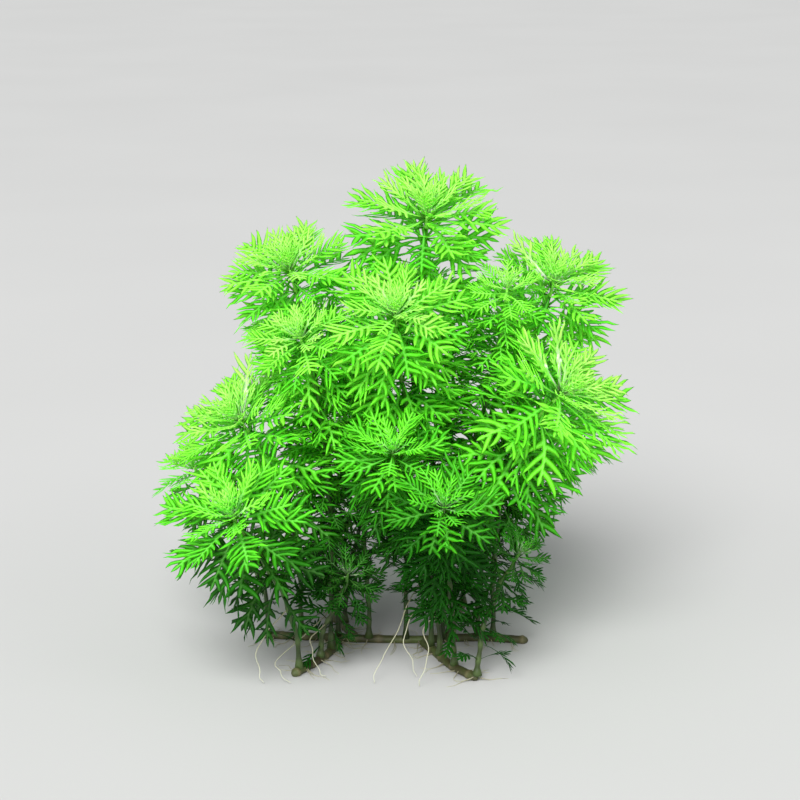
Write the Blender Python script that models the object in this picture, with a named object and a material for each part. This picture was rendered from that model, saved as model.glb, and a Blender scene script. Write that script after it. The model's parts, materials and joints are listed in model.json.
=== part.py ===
"""Water violet: a bushy clump of leafy shoots that rise from short creeping stems.

Metres, +Z up. The origin is on the ground, under the middle of the main creeping stem, and the plant's front
faces -Y. Each shoot is a stem with a few old leaves and a crown of pinnate leaves. A leaf grows out of a side
face of its stem: the face is extruded along the leaf's midrib, and the sides of each step are drawn out to the
tips of its lobes.
"""
import math
from dataclasses import dataclass, replace

import bmesh
import bpy
import numpy as np
from mathutils import Vector

MM = 0.001
UP = Vector((0, 0, 1))

# Creeping stems: a trapezoid section that lies on the ground, with a flat top that carries the shoots.
RUNNER_HEIGHT = 4.0 * MM
RUNNER_BASE_WIDTH = 5.0 * MM
RUNNER_TOP_WIDTH = 3.4 * MM
TOUCH_GAP = 0.3 * MM

# Upright stems.
STEM_SIDES = 4
STEM_STEPS = 5
FOOT_RADIUS = 1.5 * MM
NECK_RADIUS = 1.1 * MM
OLD_LEAVES_BELOW_CROWN = 24 * MM
OLD_LEAF_BAND = 1.8 * MM
OLD_LEAF_SHARE = 0.80
OLD_LEAF_COUNT = 3
OLD_LEAF_LOBES = 2

# Crowns. A crown's axis has two bands of faces that leaves grow from, then a pointed heart.
CROWN_SIDES = 12
CROWN_RADIUS = 2.1 * MM
BAND_HEIGHT = 1.7 * MM
HEART_HEIGHT = 5.0 * MM

# Leaves. Shares are of the leaf's length from its base.
FIRST_LOBE = 0.27
LAST_LOBE = 0.86
LOBE_SHARE = 0.36
LOBE_FORWARD = math.radians(48)
LOBE_CUP = 0.10
RIB_HALF_WIDTH = 0.9 * MM
RIB_HEIGHT = 0.9 * MM
OUTER_RISE = math.radians(14)
OUTER_DROOP = math.radians(16)
INNER_RISE = math.radians(46)
INNER_DROOP = math.radians(22)
INNER_SHARE = 0.66
YOUNG_RISE = math.radians(66)
YOUNG_SHARE = 0.40
YOUNG_COUNT = 4
OLD_RISE = math.radians(2)
OLD_DROOP = math.radians(26)

# Room that a leaf leaves to the leaves and stems of other shoots, and to the ground.
SITE_MARGIN = 0.035
STEM_CLEARANCE = 3.2 * MM
GROUND_CLEARANCE = 2.0 * MM
TURNS = (0, 6, -6, 12, -12)

# Creeping stems: the middle line of each on the ground, in mm.
RUNNERS = {
    "main": ((-68, 6), (-42, 3), (-14, 0), (16, -1), (44, 2), (70, -2)),
    "front_left": ((-27, -2.3), (-31, -16), (-38, -30), (-49, -47)),
    "front_right": ((16, -5.0), (22, -18), (30, -36), (42, -52)),
    "back_left": ((-20, 4.6), (-25, 18), (-31, 33), (-33, 50)),
    "back_right": ((28, 4.0), (31, 16), (33, 32), (38, 50)),
}

# Shoots: name, crown (mm), foot on a creeping stem (mm), lean of the crown's axis for each unit that it
# rises, leaf length (mm).
SHOOTS = (
    ("top", (17, 12, 217), (7, -2), (0.05, -0.42), 41),
    ("upper_left", (-50, 12, 190), (-28, 1), (-0.22, -0.40), 35),
    ("middle", (2, -36, 178), (20, -14), (-0.05, -0.70), 36),
    ("upper_right", (80, 16, 182), (44, 2), (0.25, -0.40), 36),
    ("left_middle", (-43, -26, 164), (-31, -16), (-0.25, -0.60), 29),
    ("right", (80, -32, 139), (52, 1), (0.85, -0.60), 41),
    ("left", (-72, -21, 121), (-47, 4), (-0.60, -0.40), 38),
    ("front_left", (-73, -70, 88), (-46, -42), (-0.40, -0.70), 38),
    ("front", (1, -56, 116), (24, -24), (-0.10, -0.75), 28),
    ("front_low", (24, -88, 99), (31, -38), (0.05, -0.80), 28),
    ("inner", (-24, 5, 124), (-12, -1), (-0.15, -0.45), 25),
    ("upper_inner", (56, -8, 184), (26, -2), (0.05, -0.50), 22),
    ("back_left", (-46, 68, 148), (-31, 34), (-0.30, 0.45), 31),
    ("back", (6, 72, 166), (33, 30), (0.0, 0.45), 32),
    ("back_right", (62, 74, 136), (38, 48), (0.30, 0.45), 31),
    ("back_low", (-8, 92, 92), (-25, 20), (0.0, 0.65), 30),
    ("right_back", (94, 34, 104), (31, 16), (0.60, 0.25), 27),
    ("left_low", (-99, 6, 90), (-64, 5), (-0.60, -0.20), 24),
    ("low_right", (60, -48, 62), (42, -51), (0.45, -0.60), 17),
    ("low_middle", (-22, -44, 50), (-36, -27), (0.15, -0.70), 19),
)
LONG_LEAF = 34 * MM
SHORT_LEAF = 25 * MM

# Water roots: the stem that each grows from, the height it leaves at (mm), then its way down (mm).
ROOTS = {
    "left": ("front_left", 36, ((-60, -52, 27), (-66, -50, 16), (-65, -54, 6), (-63, -56, 1))),
    "left_inner": ("left_middle", 24, ((-38, -30, 21), (-56, -44, 9), (-55, -50, 4), (-50, -56, 1))),
    "middle_left": ("low_middle", 22, ((-40, -38, 17), (-39, -42, 10), (-36, -46, 3), (-33, -48, 1))),
    "middle": ("front", 34, ((10, -36, 28), (6, -42, 18), (10, -46, 8), (12, -48, 1))),
    "middle_right": ("front_low", 40, ((16, -50, 27), (18, -56, 17), (15, -60, 8), (13, -60, 1))),
    "right": ("middle", 46, ((8, -26, 30), (0, -40, 16), (-7, -52, 8), (-9, -56, 1))),
    "back": ("back_low", 36, ((-18, 52, 22), (-12, 58, 10), (-15, 62, 1))),
}
ROOT_RADIUS = 0.45 * MM


@dataclass
class Leaf:
    """A leaf's midrib is an arc that starts at root, rises and then droops; up is the stem's axis."""
    root: Vector
    out: Vector
    up: Vector
    length: float
    rise: float
    droop: float
    lobes: int

    def point(self, share, aside=0.0, above=0.0):
        """A point at a share of the midrib, moved aside in the blade and above it."""
        end = self.rise - self.droop * share
        along = (math.sin(self.rise) - math.sin(end)) / self.droop * self.length
        high = (math.cos(end) - math.cos(self.rise)) / self.droop * self.length
        side = self.up.cross(self.out)
        normal = math.cos(end) * self.up - math.sin(end) * self.out
        above += LOBE_CUP * abs(aside)
        return self.root + along * self.out + high * self.up + aside * side + above * normal

    def steps(self):
        """Shares of the midrib at which the lobes begin and end."""
        step = (LAST_LOBE - FIRST_LOBE) / max(self.lobes, 1)
        return [FIRST_LOBE + step * i for i in range(self.lobes + 1)]

    def tip(self, index, hand):
        """Tip of one lobe: the longest are in the middle of the leaf."""
        middle = (index + 0.8) / (self.lobes + 0.6)
        reach = LOBE_SHARE * (0.62 + 0.38 * math.sin(math.pi * middle))
        share = self.steps()[index] + 0.02 + reach * math.cos(LOBE_FORWARD)
        return self.point(share, hand * reach * math.sin(LOBE_FORWARD) * self.length)

    def outline(self):
        """Points that stand for the whole leaf when its room is tested."""
        points = [self.point(share) for share in (0.3, 0.5, 0.7, 0.85, 1.0)]
        for index in range(self.lobes):
            rib = self.point(self.steps()[index])
            for hand in (-1, 1):
                tip = self.tip(index, hand)
                points += [tip, rib.lerp(tip, 0.67), rib.lerp(tip, 0.33)]
        return points


@dataclass
class Shoot:
    name: str
    crown: Vector
    foot: Vector
    axis: Vector
    leaf_length: float
    phase: float

    def stem(self, share):
        """A point of the stem's middle line, a curve that leaves the ground upright and joins the crown."""
        height = self.crown.z - self.foot.z
        first = self.foot + 0.42 * height * UP
        last = self.crown - 0.38 * height * self.axis
        rest = 1 - share
        return (rest ** 3 * self.foot + 3 * rest ** 2 * share * first
                + 3 * rest * share ** 2 * last + share ** 3 * self.crown)

    def stem_direction(self, share):
        step = 0.01
        return (self.stem(min(share + step, 1)) - self.stem(share - step)).normalized()

    def share_below(self, distance):
        """Share of the stem at a distance below its crown."""
        share = 1.0
        while share > 0 and (self.stem(share) - self.crown).length < distance:
            share -= 0.005
        return share

    def has_old_leaves(self):
        return self.leaf_length >= SHORT_LEAF

    def rings(self):
        """Shares of the stem at which its tube has a ring: the old leaves grow from the last band but one."""
        low = self.share_below(OLD_LEAVES_BELOW_CROWN + OLD_LEAF_BAND)
        steps = STEM_STEPS - 2
        rings = [low * step / steps for step in range(steps + 1)]
        if self.has_old_leaves():
            rings.append(self.share_below(OLD_LEAVES_BELOW_CROWN))
        return rings + [self.share_below(TOUCH_GAP)]

    def at_height(self, height):
        """The place and the direction of the stem's tube at a height above the ground."""
        centres = [self.stem(share) for share in self.rings()]
        low, high = next(pair for pair in zip(centres, centres[1:]) if pair[1].z > height)
        return low.lerp(high, (height - low.z) / (high.z - low.z)), (high - low).normalized()


def make_shoots():
    shoots = []
    for number, (name, crown, foot, lean, leaf) in enumerate(SHOOTS):
        foot_place = Vector((foot[0] * MM, foot[1] * MM, RUNNER_HEIGHT + TOUCH_GAP))
        axis = Vector((lean[0], lean[1], 1)).normalized()
        golden_angle = math.radians(137.5)
        shoots.append(Shoot(name, Vector(crown) * MM, foot_place, axis, leaf * MM, number * golden_angle))
    return shoots


def across(axis):
    """Two directions square to an axis and to each other."""
    side = (Vector((1, 0, 0)) - axis.x * axis).normalized()
    return side, axis.cross(side)


class Room:
    """Tells how long a leaf may grow before it would reach another shoot."""

    def __init__(self, shoots):
        sites, reaches, owners = [], [], []
        stems, stem_owners = [], []
        for number, shoot in enumerate(shoots):
            for place, share in ((1.0, 1.0), (shoot.share_below(OLD_LEAVES_BELOW_CROWN), OLD_LEAF_SHARE)):
                sites.append(shoot.stem(place))
                reaches.append(shoot.leaf_length * share)
                owners.append(number)
            for step in range(60):
                stems.append(shoot.stem(step / 59))
                stem_owners.append(number)
        self.sites, self.reaches, self.owners = np.array(sites), np.array(reaches), np.array(owners)
        self.stems, self.stem_owners = np.array(stems), np.array(stem_owners)

    def is_clear(self, leaf, number):
        points = np.array(leaf.outline())
        if points[:, 2].min() < GROUND_CLEARANCE:
            return False
        far = np.linalg.norm(points[:, None] - self.sites[None], axis=2) / self.reaches
        own = self.owners == number
        if (far[:, own].min(axis=1) > far[:, ~own].min(axis=1) - SITE_MARGIN).any():
            return False
        others = self.stems[self.stem_owners != number]
        return np.linalg.norm(points[:, None] - others[None], axis=2).min() > STEM_CLEARANCE

    def fitted(self, leaf, number):
        """The leaf, turned a little or made shorter where it would meet another shoot."""
        best, best_share = leaf, 0.0
        for turn in TURNS:
            angle = math.radians(turn)
            out = math.cos(angle) * leaf.out + math.sin(angle) * leaf.up.cross(leaf.out)
            for share in np.arange(1.0, max(best_share, 0.3) + 0.01, -0.05):
                trial = replace(leaf, out=out, length=leaf.length * float(share))
                if self.is_clear(trial, number):
                    best, best_share = trial, float(share)
                    break
            if best_share > 0.9:
                break
        return best if best_share > 0 else replace(leaf, length=leaf.length * 0.3)


class Tube:
    """A closed tube with rows of corners; row[k] of every row is at the same angle."""

    def __init__(self, bm, sides, centre, axis, radius, next_centre, next_axis, next_radius):
        self.bm, self.sides = bm, sides
        made = bmesh.ops.create_cone(bm, cap_ends=True, segments=sides, radius1=1, radius2=1, depth=1)
        self.end = max(bm.faces, key=lambda face: face.calc_center_median().z)
        self.angles = [math.atan2(vert.co.y, vert.co.x) for vert in self.end.verts]
        low = [self.below(vert, made["verts"]) for vert in self.end.verts]
        self.rows = [self.sorted_row(low), self.sorted_row(self.end.verts)]
        self.place(low, centre, axis, radius)
        self.place(self.end.verts, next_centre, next_axis, next_radius)

    @staticmethod
    def below(vert, verts):
        return next(v for v in verts if v is not vert and (v.co.xy - vert.co.xy).length < 1e-4)

    def sorted_row(self, corners):
        return [corner for _, corner in sorted(zip(self.angles, corners), key=lambda pair: pair[0])]

    def place(self, corners, centre, axis, radius):
        side, front = across(axis)
        for corner, angle in zip(corners, self.angles):
            corner.co = centre + radius * (math.cos(angle) * side + math.sin(angle) * front)

    def extend(self, centre, axis, radius):
        """Extrude the end face and put its corners round a new centre."""
        self.end = bmesh.ops.extrude_discrete_faces(self.bm, faces=[self.end])["faces"][0]
        self.place(self.end.verts, centre, axis, radius)
        self.rows.append(self.sorted_row(self.end.verts))

    def side_face(self, row, number):
        low, high = self.rows[row], self.rows[row + 1]
        following = (number + 1) % self.sides
        return self.bm.faces.get((low[number], low[following], high[following], high[number]))


def draw_out(bm, face, tip):
    """Turn a face into a spike with its point at tip."""
    bmesh.ops.poke(bm, faces=[face])["verts"][0].co = tip


def grow_leaf(bm, face, leaf):
    """Grow a leaf out of a four-sided face of a stem."""
    side = leaf.up.cross(leaf.out)
    steps = leaf.steps()
    face = bmesh.ops.extrude_discrete_faces(bm, faces=[face])["faces"][0]
    centre = face.calc_center_median()
    highest = sorted(face.verts, key=lambda vert: (vert.co - centre).dot(leaf.up))[2:]
    ridge = leaf.point(steps[0], above=RIB_HEIGHT)
    for vert in face.verts:
        hand = 1 if (vert.co - centre).dot(side) > 0 else -1
        vert.co = ridge if vert in highest else leaf.point(steps[0], hand * RIB_HALF_WIDTH)
    bmesh.ops.pointmerge(bm, verts=highest, merge_co=ridge)
    centre = face.calc_center_median()
    row = {}
    for vert in face.verts:
        aside = (vert.co - leaf.point(steps[0])).dot(side)
        row["top" if abs(aside) < RIB_HALF_WIDTH / 2 else aside > 0] = vert
    for index, share in enumerate(steps[1:]):
        old = row
        corners = list(face.verts)
        face = bmesh.ops.extrude_discrete_faces(bm, faces=[face])["faces"][0]
        row = {key: face.verts[corners.index(vert)] for key, vert in old.items()}
        narrow = 1 - 0.5 * (index + 1) / len(steps)
        row["top"].co = leaf.point(share, above=RIB_HEIGHT * narrow)
        for key, hand in ((True, 1), (False, -1)):
            row[key].co = leaf.point(share, hand * RIB_HALF_WIDTH * narrow)
            lobe = bm.faces.get((old[key], row[key], row["top"], old["top"]))
            draw_out(bm, lobe, leaf.tip(index, hand))
    draw_out(bm, face, leaf.point(1.0))


def leaf_at(face, up, shoot, share, rise, droop, lobes):
    """A leaf that starts at the middle of a face and points away from the stem."""
    root = face.calc_center_median()
    out = face.normal - face.normal.dot(up) * up
    return Leaf(root, out.normalized(), up, shoot.leaf_length * share, rise, droop, lobes)


def leaf_plan(shoot):
    """Number of outer and inner leaves and of lobes on each side of them."""
    if shoot.leaf_length > LONG_LEAF:
        return 6, 4, 3, 3
    if shoot.leaf_length > SHORT_LEAF:
        return 6, 3, 2, 2
    return 5, 2, 2, 2


def spread(count, total, phase):
    """Numbers of the faces that carry leaves, spread evenly round the stem from a phase angle."""
    start = phase / math.tau * total
    return [round(start + total * i / count) % total for i in range(count)]


def add_object(name, bm, material):
    mesh = bpy.data.meshes.new(name)
    bmesh.ops.recalc_face_normals(bm, faces=bm.faces)
    bm.to_mesh(mesh)
    bm.free()
    mesh.materials.append(material)
    bpy.context.scene.collection.objects.link(bpy.data.objects.new(name, mesh))


def make_material(name, colour, roughness):
    material = bpy.data.materials.new(name)
    material.use_nodes = True
    shader = material.node_tree.nodes["Principled BSDF"]
    shader.inputs["Base Color"].default_value = (*colour, 1)
    shader.inputs["Roughness"].default_value = roughness
    shader.inputs["Metallic"].default_value = 0
    return material


def make_crown(shoot, number, room, material):
    axis = shoot.axis
    bm = bmesh.new()
    base = shoot.crown
    first, second = base + BAND_HEIGHT * axis, base + 2 * BAND_HEIGHT * axis
    hub = Tube(bm, CROWN_SIDES, base, axis, CROWN_RADIUS * 0.8, first, axis, CROWN_RADIUS)
    hub.extend(second, axis, CROWN_RADIUS * 0.8)
    bm.normal_update()
    outer, outer_lobes, inner, inner_lobes = leaf_plan(shoot)
    plans = []
    for place in spread(outer, CROWN_SIDES, shoot.phase):
        face = hub.side_face(0, place)
        plans.append((face, leaf_at(face, axis, shoot, 1.0, OUTER_RISE, OUTER_DROOP, outer_lobes)))
    inner_places = spread(inner, CROWN_SIDES, shoot.phase + math.pi / inner)
    for place in inner_places:
        face = hub.side_face(1, place)
        plans.append((face, leaf_at(face, axis, shoot, INNER_SHARE, INNER_RISE, INNER_DROOP, inner_lobes)))
    for place in spread(YOUNG_COUNT, CROWN_SIDES, shoot.phase + 0.4):
        if place not in inner_places:
            face = hub.side_face(1, place)
            young = leaf_at(face, axis, shoot, YOUNG_SHARE, YOUNG_RISE, INNER_DROOP, 0)
            plans.append((face, young))
    draw_out(bm, hub.end, second + HEART_HEIGHT * axis)
    for face, leaf in plans:
        if leaf.lobes:
            grow_leaf(bm, face, room.fitted(leaf, number))
        else:
            draw_out(bm, face, leaf.point(1.0))
    add_object("crown_" + shoot.name, bm, material)


def make_stem(shoot, number, room, material):
    bm = bmesh.new()
    shares = shoot.rings()

    def ring(share):
        axis = shoot.stem_direction(share)
        if share in (shares[0], shares[-1]):
            axis = shoot.axis if share else UP
        return shoot.stem(share), axis, FOOT_RADIUS + (NECK_RADIUS - FOOT_RADIUS) * share

    tube = Tube(bm, STEM_SIDES, *ring(shares[0]), *ring(shares[1]))
    for share in shares[2:]:
        tube.extend(*ring(share))
    bm.normal_update()
    band = len(shares) - 3
    up = shoot.stem_direction(shares[-2])
    plans = []
    for place in spread(OLD_LEAF_COUNT if shoot.has_old_leaves() else 0, STEM_SIDES, shoot.phase + 0.5):
        face = tube.side_face(band, place)
        plans.append((face, leaf_at(face, up, shoot, OLD_LEAF_SHARE, OLD_RISE, OLD_DROOP, OLD_LEAF_LOBES)))
    for face, leaf in plans:
        grow_leaf(bm, face, room.fitted(leaf, number))
    add_object("stem_" + shoot.name, bm, material)


def make_runner(name, material):
    """A creeping stem: its end face is extruded from point to point, flat on the ground."""
    line = [Vector((x, y, 0)) * MM for x, y in RUNNERS[name]]
    bm = bmesh.new()

    def section(index):
        before, after = line[max(index - 1, 0)], line[min(index + 1, len(line) - 1)]
        side = (after - before).normalized().cross(UP)
        base, top = side * RUNNER_BASE_WIDTH / 2, side * RUNNER_TOP_WIDTH / 2
        high = RUNNER_HEIGHT * UP
        return [line[index] - base, line[index] + base, line[index] + top + high, line[index] - top + high]

    face = bm.faces.new([bm.verts.new(place) for place in section(0)])
    for index in range(1, len(line)):
        face = bmesh.ops.extrude_discrete_faces(bm, faces=[face])["faces"][0]
        for vert, place in zip(face.verts, section(index)):
            vert.co = place
    bmesh.ops.holes_fill(bm, edges=bm.edges, sides=4)
    add_object("runner_" + name, bm, material)


def make_root(name, shoots, material):
    """A thin water root: a curve with a round bevel and filled ends."""
    stem_name, height, way = ROOTS[name]
    shoot = next(shoot for shoot in shoots if shoot.name == stem_name)
    start, along = shoot.at_height(height * MM)
    towards = Vector(way[0]) * MM - start
    aside = (towards - towards.dot(along) * along).normalized()
    clear = FOOT_RADIUS + ROOT_RADIUS + TOUCH_GAP
    points = [start + clear * aside] + [Vector(place) * MM for place in way]
    curve = bpy.data.curves.new("root_" + name, "CURVE")
    curve.dimensions = "3D"
    curve.bevel_depth = ROOT_RADIUS
    curve.bevel_resolution = 0
    curve.use_fill_caps = True
    spline = curve.splines.new("POLY")
    spline.points.add(len(points) - 1)
    for spot, place in zip(spline.points, points):
        spot.co = (*place, 1)
    curve.materials.append(material)
    bpy.context.scene.collection.objects.link(bpy.data.objects.new("root_" + name, curve))


def main():
    for thing in list(bpy.data.objects):
        bpy.data.objects.remove(thing)
    leaf_green = make_material("leaf_green", (0.13, 0.66, 0.02), 0.45)
    stem_green = make_material("stem_green", (0.16, 0.30, 0.05), 0.5)
    runner_brown = make_material("runner_brown", (0.12, 0.11, 0.04), 0.6)
    root_white = make_material("root_white", (0.55, 0.55, 0.42), 0.5)
    shoots = make_shoots()
    room = Room(shoots)
    for number, shoot in enumerate(shoots):
        make_crown(shoot, number, room, leaf_green)
        make_stem(shoot, number, room, stem_green)
    for name in RUNNERS:
        make_runner(name, runner_brown)
    for name in ROOTS:
        make_root(name, shoots, root_white)


main()
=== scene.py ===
# %% [markdown]
# # Water violet, a clump of submerged shoots
#
# The plant is a dome of about twenty leafy shoots. Each shoot is a thin stem with whorls of feathery
# leaves, and its top is a dense rosette of young leaves. The solids of the imported model give every stem,
# crown, root and creeping stem its place. This script dresses them: it models a few leaves of each age,
# then grows copies of them round every stem by the rules that placed the solids, so each leaf lies
# where its solid does.

# %% The imported model
import json
import math
import random
from dataclasses import dataclass, replace

import bmesh
import bpy
import numpy as np
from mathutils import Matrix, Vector

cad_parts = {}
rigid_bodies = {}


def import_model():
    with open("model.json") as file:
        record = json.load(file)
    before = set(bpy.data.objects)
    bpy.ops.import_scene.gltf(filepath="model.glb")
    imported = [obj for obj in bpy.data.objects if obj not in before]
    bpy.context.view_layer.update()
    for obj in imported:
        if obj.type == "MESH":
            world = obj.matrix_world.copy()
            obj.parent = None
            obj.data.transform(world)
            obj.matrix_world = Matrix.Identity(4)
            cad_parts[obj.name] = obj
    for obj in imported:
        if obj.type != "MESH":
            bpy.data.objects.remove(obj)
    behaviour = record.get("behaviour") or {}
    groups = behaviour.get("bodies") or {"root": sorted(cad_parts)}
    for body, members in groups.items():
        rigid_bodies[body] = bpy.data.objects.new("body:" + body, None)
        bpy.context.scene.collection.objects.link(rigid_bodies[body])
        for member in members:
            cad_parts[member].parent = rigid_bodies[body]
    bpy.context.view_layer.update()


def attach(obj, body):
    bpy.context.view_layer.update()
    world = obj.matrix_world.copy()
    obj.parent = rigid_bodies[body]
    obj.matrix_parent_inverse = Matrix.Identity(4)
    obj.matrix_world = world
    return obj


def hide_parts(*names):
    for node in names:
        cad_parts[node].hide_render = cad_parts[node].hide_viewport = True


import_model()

BODY = "root"
MM = 0.001
UP = Vector((0, 0, 1))

# %% [markdown]
# ## Camera, floor and light
#
# The photograph looks at the clump from the front and slightly from above, with a long lens, so the camera
# stands a metre away at 15 degrees. Its frame takes in 0.4 m at the plant, and half a millimetre of plant is
# one pixel. A pale floor and large soft lamps stand for a studio. The strongest lamp hangs above, so the
# crowns are bright and the leaves under them fall into shade.

# %% Camera
CAMERA_ELEVATION = math.radians(15)
CAMERA_DISTANCE = 1.0
FRAME_WIDTH = 0.4
SENSOR_WIDTH = 36
AIM = Vector((0.004, 0, 0.1294))


def selected_only(*things):
    """Leave edit mode, deselect everything, then select these objects."""
    if bpy.context.object and bpy.context.object.mode == "EDIT":
        bpy.ops.object.mode_set(mode="OBJECT")
    bpy.ops.object.select_all(action="DESELECT")
    for thing in things:
        thing.select_set(True)
        bpy.context.view_layer.objects.active = thing


selected_only()
view_direction = Vector((0, -math.cos(CAMERA_ELEVATION), math.sin(CAMERA_ELEVATION)))
bpy.ops.object.camera_add(location=AIM + CAMERA_DISTANCE * view_direction,
                          rotation=(math.pi / 2 - CAMERA_ELEVATION, 0, 0))
camera = bpy.context.object
camera.name = "photo_camera"
camera.data.sensor_width = SENSOR_WIDTH
camera.data.lens = SENSOR_WIDTH * CAMERA_DISTANCE / FRAME_WIDTH
camera.data.clip_start = 0.01
bpy.context.scene.camera = camera
print("camera: a lens of", round(camera.data.lens), "mm at", [round(v, 3) for v in camera.location])

# %% Floor
FLOOR_RADIUS = 6.0
selected_only()
bpy.ops.mesh.primitive_circle_add(vertices=96, radius=FLOOR_RADIUS, fill_type="NGON", location=(0, 0, 0))
floor = bpy.context.object
floor.name = "studio_floor"

# %% Lamps
LAMP_TARGET = Vector((0, 0, 0.12))
LAMP_SIZE = 1.2
SUN_TILT = (math.radians(46), math.radians(-12), 0)
SUN_POWER = 3.9
SUN_WIDTH = math.radians(36)
AIR_COLOUR = (0.86, 0.88, 0.90, 1)
AIR_POWER = 0.38


def new_lamp(kind, name, place, tilt, power):
    selected_only()
    bpy.ops.object.light_add(type=kind, location=place, rotation=tilt)
    lamp = bpy.context.object
    lamp.name = name
    lamp.data.energy = power
    return lamp.data


def soft_lamp(name, place, power):
    """A square area lamp that looks at the middle of the plant."""
    towards = LAMP_TARGET - Vector(place)
    lamp = new_lamp("AREA", name, place, towards.to_track_quat("-Z", "Y").to_euler(), power)
    lamp.size = LAMP_SIZE


new_lamp("SUN", "lamp_above", (0, 0, 2), SUN_TILT, SUN_POWER).angle = SUN_WIDTH
soft_lamp("lamp_left", (-1.8, -1.35, 1.5), 10)
soft_lamp("lamp_right", (1.9, -1.1, 1.4), 8)

world = bpy.data.worlds.new("studio_air")
world.use_nodes = True
air = world.node_tree.nodes["Background"].inputs
air["Color"].default_value = AIR_COLOUR
air["Strength"].default_value = AIR_POWER
bpy.context.scene.world = world
bpy.context.scene.view_settings.view_transform = "Standard"
print("lamps:", len(bpy.data.lights))

# %% [markdown]
# ## The plant's plan
#
# These are the values that the solids were built from: where each crown is, where its stem leaves the
# creeping stems, how its tip leans and how long its leaves are. The same short formulas turn them into
# stems and leaves, so the fine leaves below start, point and end where the solid ones do.

# %% Places of the shoots
# Name, crown (mm), foot on a creeping stem (mm), lean of the crown's axis, leaf length (mm).
SHOOTS = (
    ("top", (17, 12, 217), (7, -2), (0.05, -0.42), 41),
    ("upper_left", (-50, 12, 190), (-28, 1), (-0.22, -0.40), 35),
    ("middle", (2, -36, 178), (20, -14), (-0.05, -0.70), 36),
    ("upper_right", (80, 16, 182), (44, 2), (0.25, -0.40), 36),
    ("left_middle", (-43, -26, 164), (-31, -16), (-0.25, -0.60), 29),
    ("right", (80, -32, 139), (52, 1), (0.85, -0.60), 41),
    ("left", (-72, -21, 121), (-47, 4), (-0.60, -0.40), 38),
    ("front_left", (-73, -70, 88), (-46, -42), (-0.40, -0.70), 38),
    ("front", (1, -56, 116), (24, -24), (-0.10, -0.75), 28),
    ("front_low", (24, -88, 99), (31, -38), (0.05, -0.80), 28),
    ("inner", (-24, 5, 124), (-12, -1), (-0.15, -0.45), 25),
    ("upper_inner", (56, -8, 184), (26, -2), (0.05, -0.50), 22),
    ("back_left", (-46, 68, 148), (-31, 34), (-0.30, 0.45), 31),
    ("back", (6, 72, 166), (33, 30), (0.0, 0.45), 32),
    ("back_right", (62, 74, 136), (38, 48), (0.30, 0.45), 31),
    ("back_low", (-8, 92, 92), (-25, 20), (0.0, 0.65), 30),
    ("right_back", (94, 34, 104), (31, 16), (0.60, 0.25), 27),
    ("left_low", (-99, 6, 90), (-64, 5), (-0.60, -0.20), 24),
    ("low_right", (60, -48, 62), (42, -51), (0.45, -0.60), 17),
    ("low_middle", (-22, -44, 50), (-36, -27), (0.15, -0.70), 19),
)

# %% Leaves as arcs
FIRST_LOBE = 0.27
LAST_LOBE = 0.86
LOBE_SHARE = 0.36
LOBE_FORWARD = math.radians(48)
LOBE_CUP = 0.10
LOBE_BASE_HALF = 0.02
RIB_SHARES = (0.3, 0.5, 0.7, 0.85, 1.0)
LOBE_PARTS = (0.67, 0.33)


def lobe_fullness(index, lobes):
    """Length of a lobe beside the longest; the ones halfway along a leaf are the longest."""
    middle = (index + 0.8) / (lobes + 0.6)
    return 0.62 + 0.38 * math.sin(math.pi * middle)


@dataclass
class Leaf:
    """A leaf's midrib is an arc that starts at root, rises and then droops; up is the stem's axis."""
    root: Vector
    out: Vector
    up: Vector
    length: float
    rise: float
    droop: float
    lobes: int

    def places(self, shares, aside, above):
        """World places of points given along the midrib, aside in the blade and above it, as arrays."""
        end = self.rise - self.droop * shares
        along = (math.sin(self.rise) - np.sin(end)) / self.droop * self.length
        high = (np.cos(end) - math.cos(self.rise)) / self.droop * self.length
        out, up = np.array(self.out), np.array(self.up)
        side = np.cross(up, out)
        above = above + LOBE_CUP * np.abs(aside)
        normal = np.cos(end)[:, None] * up - np.sin(end)[:, None] * out
        return (np.array(self.root) + along[:, None] * out + high[:, None] * up
                + aside[:, None] * side + above[:, None] * normal)

    def outline(self):
        """Points that stand for the whole leaf when its room is tested."""
        step = (LAST_LOBE - FIRST_LOBE) / self.lobes
        points = [self.places(np.array(RIB_SHARES), np.zeros(len(RIB_SHARES)), 0.0)]
        for index in range(self.lobes):
            reach = LOBE_SHARE * lobe_fullness(index, self.lobes)
            start = FIRST_LOBE + step * index
            share = start + LOBE_BASE_HALF + reach * math.cos(LOBE_FORWARD)
            aside = reach * math.sin(LOBE_FORWARD) * self.length
            ends = self.places(np.array([start, share, share]), np.array([0.0, -aside, aside]), 0.0)
            for tip in ends[1:]:
                between = [ends[0] + part * (tip - ends[0]) for part in LOBE_PARTS]
                points.append(np.array([tip] + between))
        return np.concatenate(points)


# %% Stems as curves
RUNNER_HEIGHT = 4.0 * MM
TOUCH_GAP = 0.3 * MM
FOOT_PULL = 0.42
CROWN_PULL = 0.38
GOLDEN_ANGLE = math.radians(137.5)


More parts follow.
